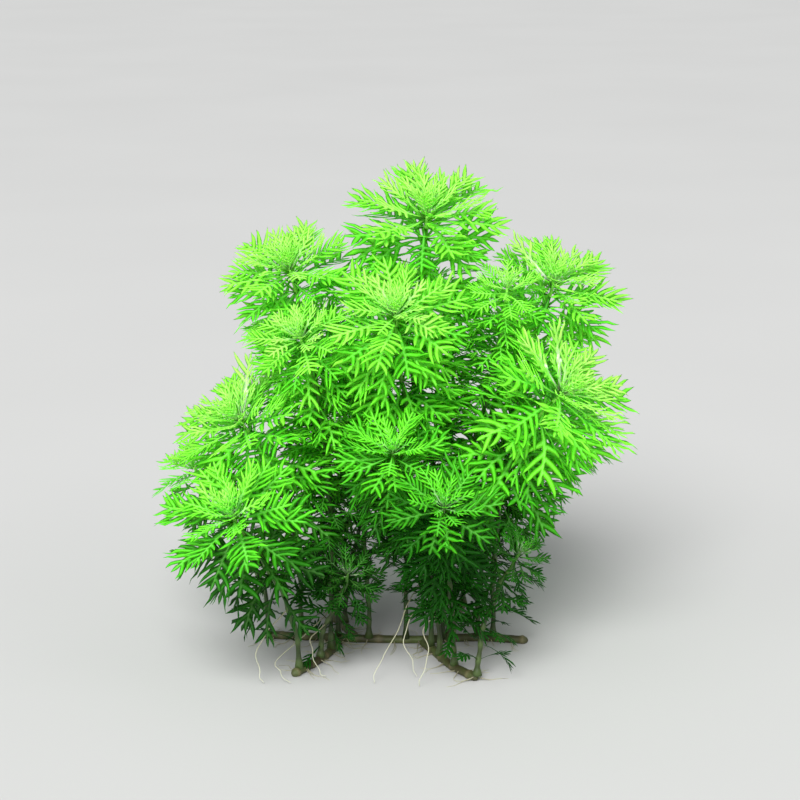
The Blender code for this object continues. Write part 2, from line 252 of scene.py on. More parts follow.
@dataclass
class Shoot:
    """A stem from its foot to its crown; axis is the crown's lean, phase turns all its whorls."""
    name: str
    crown: Vector
    foot: Vector
    axis: Vector
    leaf_length: float
    phase: float

    def stem(self, share):
        """A point of the stem's middle line, a curve that leaves the ground upright and joins the crown."""
        height = self.crown.z - self.foot.z
        first = self.foot + FOOT_PULL * height * UP
        last = self.crown - CROWN_PULL * height * self.axis
        rest = 1 - share
        return (rest ** 3 * self.foot + 3 * rest ** 2 * share * first
                + 3 * rest * share ** 2 * last + share ** 3 * self.crown)

    def stem_direction(self, share):
        step = 0.01
        return (self.stem(min(share + step, 1)) - self.stem(share - step)).normalized()

    def share_below(self, distance):
        """Share of the stem at a distance below its crown."""
        share = 1.0
        while share > 0 and (self.stem(share) - self.crown).length < distance:
            share -= 0.005
        return share


def across(axis):
    """Two directions square to an axis and to each other."""
    side = (Vector((1, 0, 0)) - axis.x * axis).normalized()
    return side, axis.cross(side)


shoots = []
for number, (name, crown, foot, lean, leaf) in enumerate(SHOOTS):
    foot_place = Vector((foot[0] * MM, foot[1] * MM, RUNNER_HEIGHT + TOUCH_GAP))
    axis = Vector((lean[0], lean[1], 1)).normalized()
    shoots.append(Shoot(name, Vector(crown) * MM, foot_place, axis, leaf * MM, number * GOLDEN_ANGLE))
print("shoots:", len(shoots))

# %% [markdown]
# ## Room for each leaf
#
# In a dense clump the shoots share the space, and a leaf stops where a neighbour's begin. Testing leaf
# against leaf would be slow, so each crown, and each old whorl below it, owns the points that are nearer
# to it than to any other, measured in lengths of its own leaves. A leaf that strays is turned a little,
# or made shorter.

# %% Space that each shoot owns
OLD_LEAVES_BELOW_CROWN = 24 * MM
OLD_LEAF_SHARE = 0.80
SITE_MARGIN = 0.035
STEM_CLEARANCE = 3.2 * MM
GROUND_CLEARANCE = 2.0 * MM
STEM_POINTS = 60
TURNS = (0, 6, -6, 12, -12)
SHORTEST_SHARE = 0.3
LONG_ENOUGH = 0.9


class Room:
    """Tells how long a leaf may grow before it would reach another shoot."""

    def __init__(self):
        sites, reaches, stems = [], [], []
        for shoot in shoots:
            sites += [shoot.crown, shoot.stem(shoot.share_below(OLD_LEAVES_BELOW_CROWN))]
            reaches += [shoot.leaf_length, shoot.leaf_length * OLD_LEAF_SHARE]
            stems += [shoot.stem(step / (STEM_POINTS - 1)) for step in range(STEM_POINTS)]
        self.sites, self.reaches, self.stems = np.array(sites), np.array(reaches), np.array(stems)
        self.owners = np.repeat(range(len(shoots)), 2)
        self.stem_owners = np.repeat(range(len(shoots)), STEM_POINTS)

    def is_clear(self, leaf, number, margin):
        """Whether a leaf of one shoot stays off the ground, in its own space and clear of other stems."""
        points = leaf.outline()
        if points[:, 2].min() < GROUND_CLEARANCE:
            return False
        far = np.linalg.norm(points[:, None] - self.sites[None], axis=2) / self.reaches
        own = self.owners == number
        if (far[:, own].min(axis=1) > far[:, ~own].min(axis=1) - margin).any():
            return False
        others = self.stems[self.stem_owners != number]
        return np.linalg.norm(points[:, None] - others[None], axis=2).min() > STEM_CLEARANCE

    def fitted(self, leaf, number, margin=SITE_MARGIN):
        """The leaf, turned a little or made shorter where it would meet another shoot."""
        best, best_share = leaf, 0.0
        for turn in TURNS:
            angle = math.radians(turn)
            out = math.cos(angle) * leaf.out + math.sin(angle) * leaf.up.cross(leaf.out)
            for share in np.arange(1.0, max(best_share, SHORTEST_SHARE) + 0.01, -0.05):
                trial = replace(leaf, out=out, length=leaf.length * float(share))
                if self.is_clear(trial, number, margin):
                    best, best_share = trial, float(share)
                    break
            if best_share > LONG_ENOUGH:
                break
        return best if best_share > 0 else replace(leaf, length=leaf.length * SHORTEST_SHARE)


room = Room()
print("spaces owned:", len(room.sites))

# %% [markdown]
# ## Leaves of each age, modelled one by one
#
# A submerged leaf is cut like a comb: a flat midrib with up to five narrow lobes on each side and one at its
# end. It could be cut from an image with a mask, but then its lobes would have no thickness and no edge. So
# it is modelled flat, one metre long, from a small grid whose front edge is extruded along the midrib. The
# outer edges of every second cell are then extruded, turned forward and narrowed, step by step, into a lobe.
# The sheet is doubled, its middle lines are raised and the rims are welded, so its section is a thin lens.
# Each kind has several shapes, so none of them is seen too often.

# %% Steps of work in edit mode
def extruded(step):
    bpy.ops.mesh.extrude_region_move(TRANSFORM_OT_translate={"value": step})


def selected_verts(mesh):
    return [vert for vert in bmesh.from_edit_mesh(mesh).verts if vert.select]


def middle_of(verts):
    return sum((vert.co for vert in verts), Vector()) / len(verts)


def select_edges(mesh, test):
    """Select only the edges whose two ends pass a test."""
    bpy.ops.mesh.select_all(action="DESELECT")
    bm = bmesh.from_edit_mesh(mesh)
    for edge in bm.edges:
        if all(test(vert.co) for vert in edge.verts):
            edge.select_set(True)
    bm.select_flush_mode()
    bmesh.update_edit_mesh(mesh)


# %% One lobe
# Widths of a lobe at the end of each of its steps, beside its kind's width.
LOBE_WIDTHS = {4: (1.05, 0.96, 0.76, 0.46), 3: (1.04, 0.86, 0.54), 2: (1.0, 0.64)}
FIRST_TURN = 0.5
MORE_TURN = 0.3


def grow_lobe(mesh, length, direction, curl, width, steps):
    """Extrude the selected edges into one tapering lobe that curls forward."""
    step = length / (steps + 1)
    edge_angle = 0.0
    for index in range(steps):
        heading = direction - curl * index / steps
        extruded((step * math.cos(heading), step * math.sin(heading), 0))
        centre = middle_of(selected_verts(mesh))
        if direction:
            square = heading - math.copysign(math.pi / 2, direction)
            turn = (square - edge_angle) * min(FIRST_TURN + MORE_TURN * index, 1)
            edge_angle += turn
            bpy.ops.transform.rotate(value=-turn, orient_axis="Z", center_override=centre)
        verts = selected_verts(mesh)
        reached = max((a.co - b.co).length for a in verts for b in verts)
        size = width * LOBE_WIDTHS[steps][index] / reached
        bpy.ops.transform.resize(value=(size,) * 3, center_override=centre)
    heading = direction - curl
    extruded((step * math.cos(heading), step * math.sin(heading), 0))
    bpy.ops.mesh.merge(type="CENTER")


# %% One flat leaf
STALK_CELLS = 2
STALK_HALF = 0.023
RIB_HALF = 0.034
CELLS_PER_PAIR = 3
END_WIDTH = 0.9
LENGTH_SPREAD = (0.64, 1.18)
ANGLE_SPREAD = (0.82, 1.16)
CURL_SPREAD = (-0.3, 1.6)
NEAR = 0.001


@dataclass
class LeafKind:
    """Pairs of lobes, steps in each, where they begin, reach, angle and curl in degrees, width, shapes."""
    pairs: int
    steps: int
    first: float
    reach: float
    forward: float
    curl: float
    width: float
    shapes: int


def draw_leaf(name, kind, seed):
    """Model one leaf, a metre long, in the XY plane, with its base at the origin.

    The midrib narrows a little at each pair of lobes, and the last lobes leave it at a sharper angle.
    """
    rng = random.Random(seed)
    pairs, steps = kind.pairs, kind.steps
    selected_only()
    bpy.ops.mesh.primitive_grid_add(x_subdivisions=1, y_subdivisions=2, size=1)
    leaf = bpy.context.object
    leaf.name = name
    mesh = leaf.data
    first_cell = kind.first / STALK_CELLS
    bpy.ops.object.mode_set(mode="EDIT")
    bpy.ops.transform.resize(value=(first_cell, 2 * STALK_HALF, 1), center_override=(0, 0, 0))
    bpy.ops.transform.translate(value=(first_cell / 2, 0, 0))
    select_edges(mesh, lambda place: place.x > first_cell * 0.9)
    here = first_cell
    for _ in range(STALK_CELLS - 1):
        extruded((first_cell, 0, 0))
        here += first_cell
        bpy.ops.transform.resize(value=(1, RIB_HALF / STALK_HALF, 1), center_override=(0, 0, 0))
    cell = (LAST_LOBE - kind.first) / pairs / CELLS_PER_PAIR
    for pair in range(pairs):
        for _ in range(CELLS_PER_PAIR):
            extruded((cell, 0, 0))
            here += cell
        centre = middle_of(selected_verts(mesh))
        bpy.ops.transform.resize(value=(1, 1 - 0.4 / pairs, 1), center_override=centre)
    grow_lobe(mesh, 1.0 - here, 0.0, 0.0, kind.width * END_WIDTH, steps)
    for pair in range(pairs):
        for hand in (-1, 1):
            start = kind.first + cell * (CELLS_PER_PAIR * pair + (hand + 1) / 2)
            length = kind.reach * lobe_fullness(pair, pairs) * rng.uniform(*LENGTH_SPREAD)
            angle = math.radians(kind.forward) * (1.14 - 0.34 * pair / pairs) * rng.uniform(*ANGLE_SPREAD)
            curl = math.radians(kind.curl) * rng.uniform(*CURL_SPREAD)
            select_edges(mesh, lambda place: start - NEAR < place.x < start + 2 * cell + NEAR
                         and 0.1 * RIB_HALF < place.y * hand < 1.02 * RIB_HALF)
            grow_lobe(mesh, length, hand * angle, hand * curl, kind.width, steps)
    bpy.ops.object.mode_set(mode="OBJECT")
    return leaf


# %% Thickness
TOP_SWELL = 0.008
UNDER_SWELL = -0.006
WELD = 0.0005


def give_thickness(leaf):
    """Double the flat leaf, raise its middle lines and weld its rims."""
    mesh = leaf.data
    selected_only(leaf)
    bpy.ops.object.mode_set(mode="EDIT")
    bpy.ops.mesh.select_all(action="SELECT")
    bpy.ops.mesh.normals_make_consistent(inside=False)
    bm = bmesh.from_edit_mesh(mesh)
    if sum(face.normal.z for face in bm.faces) < 0:
        bpy.ops.mesh.flip_normals()
    rim = {vert.index for vert in bm.verts if vert.is_boundary}
    for vert in bm.verts:
        vert.co.z = 0 if vert.index in rim else TOP_SWELL
    bmesh.update_edit_mesh(mesh)
    bpy.ops.mesh.duplicate()
    bpy.ops.mesh.flip_normals()
    for vert in selected_verts(mesh):
        vert.co.z *= UNDER_SWELL / TOP_SWELL
    bmesh.update_edit_mesh(mesh)
    bpy.ops.mesh.select_all(action="SELECT")
    bpy.ops.mesh.remove_doubles(threshold=WELD)
    bpy.ops.object.mode_set(mode="OBJECT")


# %% A model kept as arrays
def arrays_of(model):
    """Places and faces of a model that isn't needed any more as an object."""
    places = np.array([vert.co for vert in model.data.vertices])
    faces = [tuple(face.vertices) for face in model.data.polygons]
    bpy.data.objects.remove(model)
    return places, faces


def template(name, kind, seed):
    """A leaf's places along, aside and above, its faces, and which of its points are on a middle line."""
    leaf = draw_leaf(name, kind, seed)
    give_thickness(leaf)
    places, faces = arrays_of(leaf)
    return places, faces, (places[:, 2] != 0).astype(float)


# %% Leaves of each age
LEAF_KINDS = {
    "long": LeafKind(5, 4, 0.34, 0.37, 50, 22, 0.062, 6),
    "wide": LeafKind(4, 4, 0.36, 0.40, 52, 26, 0.070, 6),
    "middle": LeafKind(4, 3, 0.34, 0.35, 46, 22, 0.066, 6),
    "young": LeafKind(3, 3, 0.32, 0.32, 34, 16, 0.078, 8),
    "bud": LeafKind(2, 2, 0.30, 0.26, 24, 10, 0.090, 6),
    "old": LeafKind(3, 3, 0.36, 0.38, 46, 22, 0.076, 14),
    "bare": LeafKind(3, 2, 0.46, 0.32, 42, 16, 0.080, 12),
}
TEMPLATES = {}
for name, kind in LEAF_KINDS.items():
    TEMPLATES[name] = [template(f"{name}_leaf_{seed}", kind, seed) for seed in range(kind.shapes)]
    print(name, "leaves:", kind.shapes, "shapes of", len(TEMPLATES[name][0][1]), "faces")
USES = {name: [0] * kind.shapes for name, kind in LEAF_KINDS.items()}

# %% [markdown]
# ## Growing the copies
#
# A plant bends every leaf a little differently. Each copy of a modelled leaf is laid along its own arc,
# swept to one side, twisted and cupped with small random amounts, and keeps five numbers for its finish: its
# age with its shoot's painted shade, whether a point is on a middle line, how far out a point is, a tint of
# its own, and how much painted light its stalk carries.

# %% Copies along arcs
SWEEP = 0.14
CURL = (-0.2, 0.9)
WAVE_HEIGHT = (0.0, 0.12)
WAVES = (30, 44)
WAVE_START = (0, 6.3)
WIDTH = (0.90, 1.05)
TIP_ASIDE = 2.2
TIP_ALONG = 0.35
STALK_ASIDE = 0.05
STOUT_STALK = 0.9        # how much thicker a stalk with a painted highlight is than a green one


class Foliage:
    """Collects leaf copies and turns them into one mesh."""

    def __init__(self, seed, painted_shade):
        self.rng = random.Random(seed)
        self.painted_shade = painted_shade
        self.points, self.faces, self.marks = [], [], []
        self.total = 0

    def add(self, kind, leaf, age, loose=1.0, roll=0.25, bleached=0.0):
        """Lay one copy along a leaf's arc; loose and roll say how far it may stray from the model."""
        rng = self.rng
        variant = rng.randrange(len(TEMPLATES[kind]))
        USES[kind][variant] += 1
        model, faces, rib = TEMPLATES[kind][variant]
        along, aside, above = model.T
        sweep = rng.uniform(-SWEEP, SWEEP) * loose
        twist = rng.uniform(-roll, roll) * loose
        curl = rng.uniform(*CURL) * loose
        wave = rng.uniform(*WAVE_HEIGHT)
        wave = wave * np.sin(along * rng.uniform(*WAVES) + np.sign(aside) + rng.uniform(*WAVE_START))
        # Painted light on a stalk fades into green between 0.36 and 0.64 of the leaf's length.
        stalk = (np.abs(aside) < STALK_ASIDE) * np.clip(2.3 - 3.6 * along, 0, 1)
        # Painted light on the stalk, full on a few leaves and weaker in a crown's heart.
        pale = bleached * stalk
        stout = 1 + STOUT_STALK * round(bleached) * pale
        swept = aside * stout * rng.uniform(*WIDTH) * math.cos(twist) + sweep * along ** 2
        lift = above * stout + aside * math.sin(twist) * np.clip(along * 3, 0, 1)
        lift = lift + curl * aside ** 2 + wave * np.abs(aside)
        places = leaf.places(along, swept * leaf.length, lift * leaf.length)
        self.points.append(places)
        self.faces += [tuple(v + self.total for v in face) for face in faces]
        tip = np.clip(np.abs(aside) * TIP_ASIDE + along * TIP_ALONG, 0, 1)
        tint = np.full(len(along), rng.random())
        # The age mark also carries the shoot's painted shade.
        ages = np.full(len(along), age + self.painted_shade)
        self.marks.append(np.stack([ages, rib, tip, tint, pale], axis=1))
        self.total += len(along)

    def finish(self, name):
        points, marks = np.concatenate(self.points), np.concatenate(self.marks)
        return finished_piece(name, points, self.faces, marks, LEAF)


# %% A piece from arrays
MARKS = ("age", "rib", "tip", "tint", "pale")


def plain_marks(age, rib):
    """Marks of a stem or root, which has only its age and its rings."""
    return np.stack([age, rib] + [np.zeros(len(age))] * 3, axis=1)


def finished_piece(name, points, faces, marks, material):
    """A smooth mesh piece with its marks as attributes, riding on the plant's one body."""
    mesh = bpy.data.meshes.new(name)
    mesh.from_pydata(points.tolist(), [], faces)
    for column, mark in enumerate(MARKS):
        mesh.attributes.new(mark, "FLOAT", "POINT").data.foreach_set("value", marks[:, column])
    mesh.shade_smooth()
    mesh.materials.append(material)
    piece = bpy.data.objects.new(name, mesh)
    bpy.context.scene.collection.objects.link(piece)
    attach(piece, BODY)
    return piece


# %% [markdown]
# ## Finishes
#
# Shader maths reads best as sums and products, so a small class wraps a socket and adds the nodes behind the
# operators. Living leaves are light yellow-green where they are young and thin, and deeper green as they
# age;
# lower down a painted shade darkens them further. Their middle lines are paler, partly with a painted
# highlight, and so are their lobe tips. Light that enters a blade spreads in it, so each leaf has some
# subsurface scattering.

# %% Shader helper
class Wire:
    """A socket of a material's node tree; arithmetic on it adds Math nodes."""

    def __init__(self, tree, socket):
        self.tree, self.socket = tree, socket

    def node(self, kind, settings=None, **inputs):
        """Add a node; an input is named by its socket, or by i and its number."""
        made = self.tree.nodes.new(kind)
        for key, value in (settings or {}).items():
            if key == "stops":
                set_ramp(made, value)
            else:
                setattr(made, key, value)
        for key, value in inputs.items():
            numbered = key[0] == "i" and key[1:].isdigit()
            target = made.inputs[int(key[1:]) if numbered else key.replace("_", " ")]
            self.feed(target, value)
        return made

    def feed(self, target, value):
        """Link a wire to a node's input, or set the input to a plain value."""
        if isinstance(value, Wire):
            self.tree.links.new(value.socket, target)
        else:
            target.default_value = value

    def math(self, operation, other, flipped=False):
        first, second = (other, self) if flipped else (self, other)
        made = self.node("ShaderNodeMath", {"operation": operation}, i0=first, i1=second)
        return Wire(self.tree, made.outputs[0])

    def __add__(self, other):
        return self.math("ADD", other)

    def __sub__(self, other):
        return self.math("SUBTRACT", other)

    def __rsub__(self, other):
        return self.math("SUBTRACT", other, flipped=True)

    def __mul__(self, other):
        return self.math("MULTIPLY", other)

    __radd__, __rmul__ = __add__, __mul__

    def clamp(self):
        made = self.node("ShaderNodeClamp", None, Value=self)
        return Wire(self.tree, made.outputs[0])

    def mix(self, first, second):
        """Mix two colours by this factor."""
        made = self.node("ShaderNodeMix", {"data_type": "RGBA"}, i0=self)
        for target, colour in ((made.inputs[6], first), (made.inputs[7], second)):
            self.feed(target, colour if isinstance(colour, Wire) else (*colour, 1))
        return Wire(self.tree, made.outputs[2])


def set_ramp(node, stops):
    ramp = node.color_ramp
    while len(ramp.elements) < len(stops):
        ramp.elements.new(0.5)
    for element, (place, colour) in zip(ramp.elements, stops):
        element.position = place
        element.color = (*colour, 1)


# %% Starting a finish
def new_finish(name, roughness, **fixed):
    """A material with a Principled shader; returns it, its shader and the place on the plant as a wire."""
    material = bpy.data.materials.new(name)
    material.use_nodes = True
    tree = material.node_tree
    shader = tree.nodes["Principled BSDF"]
    shader.inputs["Roughness"].default_value = roughness
    for key, value in fixed.items():
        shader.inputs[key.replace("_", " ")].default_value = value
    place = tree.nodes.new("ShaderNodeTexCoord")
    return material, shader, Wire(tree, place.outputs["Object"])


def attribute(wire, name):
    return Wire(wire.tree, wire.node("ShaderNodeAttribute", {"attribute_name": name}).outputs["Fac"])


def noise(place, scale, detail=2.0):
    made = place.node("ShaderNodeTexNoise", None, Vector=place, Scale=scale, Detail=detail)
    return Wire(place.tree, made.outputs["Fac"])


def connect(wire, shader, socket):
    wire.tree.links.new(wire.socket, shader.inputs[socket])


def bump(height, strength, distance):
    made = height.node("ShaderNodeBump", None, Height=height, Strength=strength, Distance=distance)
    return Wire(height.tree, made.outputs[0])


def ramp(shade, stops):
    """The colour of a shade from 0 to 1, between the stops of a colour ramp."""
    made = shade.node("ShaderNodeValToRGB", {"stops": stops}, Fac=shade)
    return Wire(shade.tree, made.outputs["Color"])


# %% [markdown]
# ## The leaf's green
#
# One finish serves all leaves, because their age is a mark on each point, with its shoot's painted shade
# added. Age, a painted shade that darkens the leaves below a set height in the clump, a tint for each leaf
# and a soft mottle add up to one shade from 0 to 1, and a ramp turns it into greens that were matched. The
# middle lines, paler partly with a painted highlight, and the painted light on the stalks of a few young
# leaves and of the crowns' hearts, are mixed over it.

# %% Leaf finish
# Greens for a shade value that sums age, painted shade, tint and mottle.
LEAF_BY_AGE_AND_SHADE = (
    (0.0, (0.42, 1.0, 0.13)),
    (0.12, (0.25, 0.98, 0.045)),
    (0.28, (0.15, 0.88, 0.020)),
    (0.50, (0.055, 0.50, 0.008)),
    (0.75, (0.016, 0.19, 0.003)),
    (1.0, (0.005, 0.055, 0.002)),
)
# Paler midribs: partly their own colour, partly a painted highlight along them.
PALE_RIB_AND_HIGHLIGHT = (0.50, 1.0, 0.30)
# Painted light: a whitish highlight on a few stalks, and a paler glow on the stalks of the crowns' hearts.
PAINTED_LIGHT_COLOUR = (0.95, 1.0, 0.80)
SHADED_BELOW = 0.115
SHADE_PER_METRE = 6.0
TINT = 0.14
MOTTLE = 0.22
TIP_LIGHT = 0.10


def leaf_finish():
    material, shader, place = new_finish(
        "living_leaf", 0.42, Specular_IOR_Level=0.10, Subsurface_Weight=0.15,
        Subsurface_Radius=(0.6, 1.0, 0.2), Subsurface_Scale=0.002)
    age, rib = attribute(place, "age"), attribute(place, "rib")
    tip, tint = attribute(place, "tip"), attribute(place, "tint")
    mottle = noise(place, 160.0)
    height = Wire(place.tree, place.node("ShaderNodeSeparateXYZ", None, Vector=place).outputs["Z"])
    # Painted shade: leaves below SHADED_BELOW get darker the lower they stand.
    depth = (SHADED_BELOW - height).math("MAXIMUM", 0.0)
    shade = age + depth * SHADE_PER_METRE + tint * TINT - TINT / 2
    shade = (shade + (mottle - 0.5) * MOTTLE - tip * TIP_LIGHT).clamp()
    stalk = (1.0 - tip * 2.2).clamp()
    # Middle lines are paler, most near the stalk, partly as a painted highlight.
    vein_and_highlight = (rib * rib * (0.12 + stalk * 0.60) * (1.0 - age * 1.2).clamp()).clamp()
    green = vein_and_highlight.mix(ramp(shade, LEAF_BY_AGE_AND_SHADE), PALE_RIB_AND_HIGHLIGHT)
    # Painted light is mixed over the green on the marked stalks.
    connect(attribute(place, "pale").mix(green, PAINTED_LIGHT_COLOUR), shader, "Base Color")
    connect(0.36 + noise(place, 900.0) * 0.16, shader, "Roughness")
    connect(bump(noise(place, 1400.0, 3.0) + rib * 0.3, 0.35, 0.0002), shader, "Normal")
    return material


# %% [markdown]
# ## Stems and roots
#
# A stem is green at the top and olive at its foot, and paler at its rings. A creeping stem is brown with
# green patches and tan joints, and its skin is the roughest. The water roots are straw-coloured threads
# that let a little light through. All of it is patchy, so each shade gets noise of the size of the real
# patches.

# %% Stem finish
THIN_TISSUE = (0.7, 0.9, 0.5)
# Stem greens by age, and by the painted shade of a shoot in the others' shade.
STEM_BY_AGE_AND_SHADE = (
    (0.0, (0.30, 0.85, 0.08)),
    (0.25, (0.08, 0.27, 0.02)),
    (0.6, (0.035, 0.12, 0.010)),
    (1.0, (0.030, 0.050, 0.010)),
)
STEM_RING = (0.12, 0.20, 0.05)


def stem_finish():
    material, shader, place = new_finish(
        "living_stem", 0.40, Subsurface_Weight=0.1, Subsurface_Radius=THIN_TISSUE, Subsurface_Scale=0.001)
    age, ring = attribute(place, "age"), attribute(place, "rib")
    shade = (age + (noise(place, 220.0) - 0.5) * 0.4).clamp()
    connect((ring * 0.45).mix(ramp(shade, STEM_BY_AGE_AND_SHADE), STEM_RING), shader, "Base Color")
    connect(0.34 + noise(place, 700.0) * 0.2, shader, "Roughness")
    connect(bump(noise(place, 900.0, 4.0), 0.4, 0.0002), shader, "Normal")
    return material


# %% Creeping stem finish
RUNNER_BROWN = (0.045, 0.035, 0.014)
RUNNER_GREEN = (0.09, 0.13, 0.030)
RUNNER_JOINT = (0.20, 0.17, 0.08)


def runner_finish():
    material, shader, place = new_finish("creeping_stem", 0.55)
    shade = (noise(place, 110.0, 5.0) * 2.4 - 0.75).clamp()
    skin = shade.mix(RUNNER_BROWN, RUNNER_GREEN)
    joint = (attribute(place, "rib") * (0.35 + noise(place, 300.0) * 0.5)).clamp()
    connect(joint.mix(skin, RUNNER_JOINT), shader, "Base Color")
    connect(0.45 + noise(place, 500.0) * 0.25, shader, "Roughness")
    connect(bump(noise(place, 650.0, 5.0) + noise(place, 160.0, 2.0), 0.7, 0.0005), shader, "Normal")
    return material


# %% Root and floor finishes
ROOT_TIP = (0.62, 0.64, 0.48)
ROOT_TOP = (0.36, 0.33, 0.21)
FLOOR_COLOURS = ((0.56, 0.56, 0.55), (0.60, 0.60, 0.59))


def root_finish():
    material, shader, place = new_finish(
        "water_root", 0.45, Subsurface_Weight=0.3, Subsurface_Radius=THIN_TISSUE, Subsurface_Scale=0.001)
    shade = (attribute(place, "age") + (noise(place, 120.0) - 0.5) * 0.5).clamp()
    connect(shade.mix(ROOT_TIP, ROOT_TOP), shader, "Base Color")
    connect(bump(noise(place, 1500.0, 3.0), 0.3, 0.0001), shader, "Normal")
    return material


def floor_finish():
    material, shader, place = new_finish("pale_floor", 0.8)
    connect(noise(place, 3.0).mix(*FLOOR_COLOURS), shader, "Base Color")
    return material


LEAF, STEM, RUNNER, ROOT = leaf_finish(), stem_finish(), runner_finish(), root_finish()
floor.data.materials.append(floor_finish())
print("finishes:", len(bpy.data.materials))

# %% [markdown]
# ## Crowns
#
# A crown is a stack of whorls. The lowest leaves lie out flat and droop at their tips, the next ones
# rise, and the youngest stand upright round the growing point. The solid crown has five or six of the
# lowest and the first few of the rising leaves. Those keep their angles here, and the others stand
# between and above them.

# %% Whorls
LONG_LEAF = 34 * MM
SHORT_LEAF = 25 * MM


def solid_plan(shoot):
    """The solid crown's outer leaves and their pairs of lobes, then its inner leaves and theirs."""
    if shoot.leaf_length > LONG_LEAF:
        return 6, 4, 3, 3
    if shoot.leaf_length > SHORT_LEAF:
        return 6, 3, 2, 2
    return 5, 2, 2, 2


def upper_whorls(shoot):
    """The fine crown's own whorls: kind, count, length share, rise, droop (degrees), age and height (mm)."""
    size = 2 if shoot.leaf_length > LONG_LEAF else 1 if shoot.leaf_length > SHORT_LEAF else 0
    outer = solid_plan(shoot)[0]
    return (
        ("wide", outer, 0.94, 0, 12, 0.44, -2.5),
        ("long", (4, 5, 6)[size], 0.93, 17, 6, 0.20, 2.0),
        ("middle", (4, 5, 6)[size], 0.76, 34, 8, 0.14, 3.4),
        ("young", (4, 6, 7)[size], 0.58, 50, 14, 0.08, 4.4),
        ("young", (5, 6, 8)[size], 0.47, 64, 13, 0.02, 5.2),
        ("bud", (5, 6, 8)[size], 0.40, 76, 14, -0.04, 5.8),
        ("bud", (4, 5, 6)[size], 0.34, 86, 13, -0.08, 6.2),
    )


def leaf_at(centre, axis, angle, radius, length, rise, droop, lobes):
    """A leaf that starts at a radius from an axis, in a direction round it."""
    side, front = across(axis)
    out = math.cos(angle) * side + math.sin(angle) * front
    return Leaf(centre + radius * out, out, axis, length, rise, droop, lobes)


# %% Shoots in the shade
# Their deeper green is painted shade. They also have plainer leaves: forked ones in front, bare-stalked
# ones near the ground.
PAINTED_SHADE_OF_SHOOT = {"front_left": 0.07, "front": 0.26, "front_low": 0.36, "back_low": 0.10, "low_right": 0.46,
                  "low_middle": 0.46}
LOW_SHOOTS = ("low_right", "low_middle")
SUNNY_KINDS = {kind: kind for kind in LEAF_KINDS}
FORKED_KINDS = {**SUNNY_KINDS, "long": "old", "wide": "old"}
SPARSE_KINDS = {**SUNNY_KINDS, "long": "bare", "wide": "bare", "middle": "bare", "young": "bud"}
KINDS_OF_SHOOT = {"front": FORKED_KINDS, "front_low": FORKED_KINDS, "left_low": FORKED_KINDS,
                  "low_right": SPARSE_KINDS, "low_middle": SPARSE_KINDS}

# %% Leaves that the solid crowns have
CROWN_SIDES = 12
FIRST_FACE_ANGLE = math.radians(-135)
CROWN_RADIUS = 2.1 * MM
LEAF_SEAT = 0.85 * CROWN_RADIUS
BAND_HEIGHT = 1.7 * MM
OUTER_RISE = math.radians(14)
OUTER_DROOP = math.radians(16)
OUTER_SPREAD = (-18, 4)
OUTER_AGE = 0.24
INNER_RISE = math.radians(46)
INNER_DROOP = math.radians(22)
INNER_SHARE = 0.66
INNER_AGE = 0.10
HELD = 0.5               # how far these leaves stray beside the others


def spread(count, total, phase):
    """Numbers of the faces that carry leaves, spread evenly round the stem from a phase angle."""
    start = phase / math.tau * total
    return [round(start + total * i / count) % total for i in range(count)]


def face_angles(count, phase):
    """Directions of the faces of a solid crown that carry leaves."""
    faces = spread(count, CROWN_SIDES, phase)
    return [FIRST_FACE_ANGLE + face * (math.tau / CROWN_SIDES) for face in faces]


def grow_solid_leaves(foliage, number, shoot, kinds):
    """Dress the solid crown's own leaves, and return the directions of the outer ones."""
    axis, length = shoot.axis, shoot.leaf_length
    outer, outer_lobes, inner, inner_lobes = solid_plan(shoot)
    outer_angles = face_angles(outer, shoot.phase)
    for angle in outer_angles:
        centre = shoot.crown + BAND_HEIGHT / 2 * axis
        leaf = leaf_at(centre, axis, angle, LEAF_SEAT, length, OUTER_RISE, OUTER_DROOP, outer_lobes)
        fitted = room.fitted(leaf, number)
        fitted.droop += math.radians(foliage.rng.uniform(*OUTER_SPREAD))
        foliage.add(kinds[foliage.rng.choice(("long", "wide"))], fitted, OUTER_AGE, HELD)
    for angle in face_angles(inner, shoot.phase + math.pi / inner):
        centre = shoot.crown + BAND_HEIGHT * 1.5 * axis
        leaf = leaf_at(centre, axis, angle, LEAF_SEAT, length * INNER_SHARE,
                       INNER_RISE, INNER_DROOP, inner_lobes)
        foliage.add(kinds["middle"], room.fitted(leaf, number), INNER_AGE, HELD)
    return outer_angles


# %% Leaves between and above them
# Below zero, because the tips of fine leaves may mix a little with a neighbour's.
FINE_MARGIN = -0.12
FINE_LOBES = 3
WHORL_TURN = 0.9
LEAST_DROOP = 0.01
# The leaves that rise steeper than this, in degrees, are a crown's heart; their stalks get painted light.
HEART_RISE = 45
HEART_PAINTED_LIGHT = 0.32


